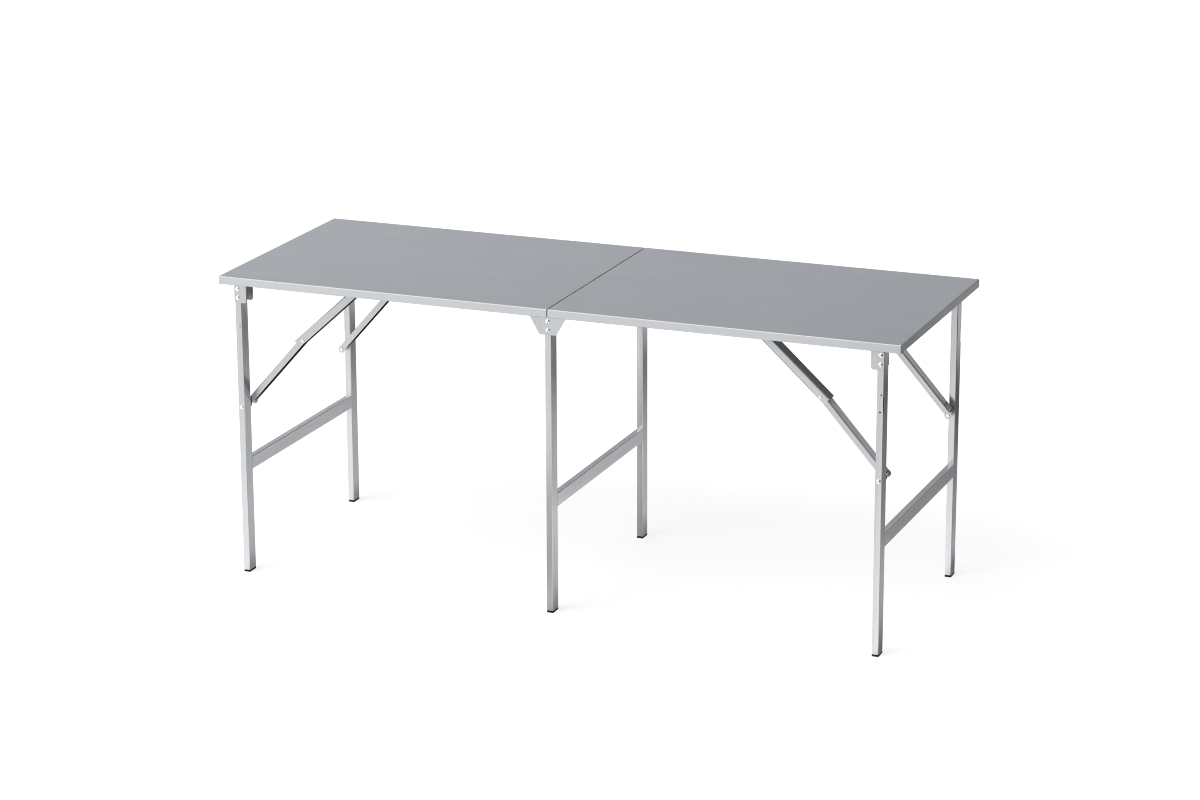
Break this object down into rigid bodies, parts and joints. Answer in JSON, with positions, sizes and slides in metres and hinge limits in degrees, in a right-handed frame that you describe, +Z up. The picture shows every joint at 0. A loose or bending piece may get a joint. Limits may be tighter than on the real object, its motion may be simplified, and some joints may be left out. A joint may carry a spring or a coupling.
{
  "type": "folding trestle table",
  "caption": "Long folding trestle table: sheet-metal top hinged across the middle, tube trestles with crossbars, and nesting elbow braces that let the end trestles fold under the top.",
  "frame": {"origin": "on the floor under the middle of the table top", "axes": "+X along the table's length, +Y from the front long side to the rear long side, +Z up"},
  "size_m": [2, 0.738, 0.874],
  "materials": {
    "top_sheet": "satin",
    "frame_tube": "satin",
    "brace_channel": "satin",
    "hinge_steel": "satin",
    "rivet_steel": "satin",
    "foot_plug": "matte"
  },
  "bodies": {
    "centre_frame": {"centre_leg_front": "frame_tube", "centre_leg_rear": "frame_tube", "centre_crossbar": "frame_tube", "centre_plate_front": "hinge_steel", "centre_plate_rear": "hinge_steel", "centre_feet": "foot_plug", "centre_plate_rivets": "rivet_steel", "centre_hinge_pins": "rivet_steel"},
    "left_half": {"left_top": "top_sheet", "left_end_hinge_lugs": "hinge_steel", "left_centre_hinge_lugs": "hinge_steel", "left_brace_lugs": "hinge_steel", "left_end_hinge_pins": "rivet_steel", "left_brace_anchor_pins": "rivet_steel"},
    "left_trestle": {"left_leg_front": "frame_tube", "left_leg_rear": "frame_tube", "left_crossbar": "frame_tube", "left_outer_hinge_plates": "hinge_steel", "left_inner_hinge_plates": "hinge_steel", "left_feet": "foot_plug", "left_plate_rivets": "rivet_steel", "left_leg_rivets": "rivet_steel", "left_brace_pivot_rivets": "rivet_steel"},
    "left_front_brace_upper": {"left_front_upper_brace": "brace_channel", "left_front_elbow_rivet": "rivet_steel"},
    "left_front_brace_lower": {"left_front_lower_brace": "brace_channel", "left_front_brace_leg_pin": "rivet_steel"},
    "left_rear_brace_upper": {"left_rear_upper_brace": "brace_channel", "left_rear_elbow_rivet": "rivet_steel"},
    "left_rear_brace_lower": {"left_rear_lower_brace": "brace_channel", "left_rear_brace_leg_pin": "rivet_steel"},
    "right_half": {"right_top": "top_sheet", "right_end_hinge_lugs": "hinge_steel", "right_centre_hinge_lugs": "hinge_steel", "right_brace_lugs": "hinge_steel", "right_end_hinge_pins": "rivet_steel", "right_brace_anchor_pins": "rivet_steel"},
    "right_trestle": {"right_leg_front": "frame_tube", "right_leg_rear": "frame_tube", "right_crossbar": "frame_tube", "right_outer_hinge_plates": "hinge_steel", "right_inner_hinge_plates": "hinge_steel", "right_feet": "foot_plug", "right_plate_rivets": "rivet_steel", "right_leg_rivets": "rivet_steel", "right_brace_pivot_rivets": "rivet_steel"},
    "right_front_brace_upper": {"right_front_upper_brace": "brace_channel", "right_front_elbow_rivet": "rivet_steel"},
    "right_front_brace_lower": {"right_front_lower_brace": "brace_channel", "right_front_brace_leg_pin": "rivet_steel"},
    "right_rear_brace_upper": {"right_rear_upper_brace": "brace_channel", "right_rear_elbow_rivet": "rivet_steel"},
    "right_rear_brace_lower": {"right_rear_lower_brace": "brace_channel", "right_rear_brace_leg_pin": "rivet_steel"}
  },
  "joints": [
    {"name": "left_half_fold", "type": "hinge", "parent": "centre_frame", "child": "left_half", "pos_m": [-0.045, 0, 0.858], "axis": [0, -1, 0], "range_deg": [0, 45]},
    {"name": "left_trestle_fold", "type": "hinge", "parent": "left_half", "child": "left_trestle", "pos_m": [-0.925, 0, 0.86], "axis": [0, -1, 0], "range_deg": [0, 90]},
    {"name": "left_front_brace_anchor", "type": "hinge", "parent": "left_half", "child": "left_front_brace_upper", "pos_m": [-0.584, -0.3038, 0.86], "axis": [0, 1, 0], "range_deg": [0, 37.7]},
    {"name": "left_front_brace_elbow", "type": "hinge", "parent": "left_front_brace_upper", "child": "left_front_brace_lower", "pos_m": [-0.7652, -0.3038, 0.6955], "axis": [0, -1, 0], "range_deg": [0, 169.5]},
    {"name": "left_rear_brace_anchor", "type": "hinge", "parent": "left_half", "child": "left_rear_brace_upper", "pos_m": [-0.584, 0.3038, 0.86], "axis": [0, 1, 0], "range_deg": [0, 37.7]},
    {"name": "left_rear_brace_elbow", "type": "hinge", "parent": "left_rear_brace_upper", "child": "left_rear_brace_lower", "pos_m": [-0.7652, 0.3038, 0.6955], "axis": [0, -1, 0], "range_deg": [0, 169.5]},
    {"name": "right_half_fold", "type": "hinge", "parent": "centre_frame", "child": "right_half", "pos_m": [0.045, 0, 0.858], "axis": [0, 1, 0], "range_deg": [0, 45]},
    {"name": "right_trestle_fold", "type": "hinge", "parent": "right_half", "child": "right_trestle", "pos_m": [0.925, 0, 0.86], "axis": [0, 1, 0], "range_deg": [0, 90]},
    {"name": "right_front_brace_anchor", "type": "hinge", "parent": "right_half", "child": "right_front_brace_upper", "pos_m": [0.584, -0.3038, 0.86], "axis": [0, -1, 0], "range_deg": [0, 37.7]},
    {"name": "right_front_brace_elbow", "type": "hinge", "parent": "right_front_brace_upper", "child": "right_front_brace_lower", "pos_m": [0.7652, -0.3038, 0.6955], "axis": [0, 1, 0], "range_deg": [0, 169.5]},
    {"name": "right_rear_brace_anchor", "type": "hinge", "parent": "right_half", "child": "right_rear_brace_upper", "pos_m": [0.584, 0.3038, 0.86], "axis": [0, -1, 0], "range_deg": [0, 37.7]},
    {"name": "right_rear_brace_elbow", "type": "hinge", "parent": "right_rear_brace_upper", "child": "right_rear_brace_lower", "pos_m": [0.7652, 0.3038, 0.6955], "axis": [0, 1, 0], "range_deg": [0, 169.5]}
  ],
  "couplings": [
    {"joint": "left_front_brace_anchor", "follows": "left_trestle_fold", "ratio": 0.41776},
    {"joint": "left_front_brace_elbow", "follows": "left_trestle_fold", "ratio": 1.8812},
    {"joint": "left_rear_brace_anchor", "follows": "left_trestle_fold", "ratio": 0.41776},
    {"joint": "left_rear_brace_elbow", "follows": "left_trestle_fold", "ratio": 1.8812},
    {"joint": "right_front_brace_anchor", "follows": "right_trestle_fold", "ratio": 0.41776},
    {"joint": "right_front_brace_elbow", "follows": "right_trestle_fold", "ratio": 1.8812},
    {"joint": "right_rear_brace_anchor", "follows": "right_trestle_fold", "ratio": 0.41776},
    {"joint": "right_rear_brace_elbow", "follows": "right_trestle_fold", "ratio": 1.8812}
  ]
}
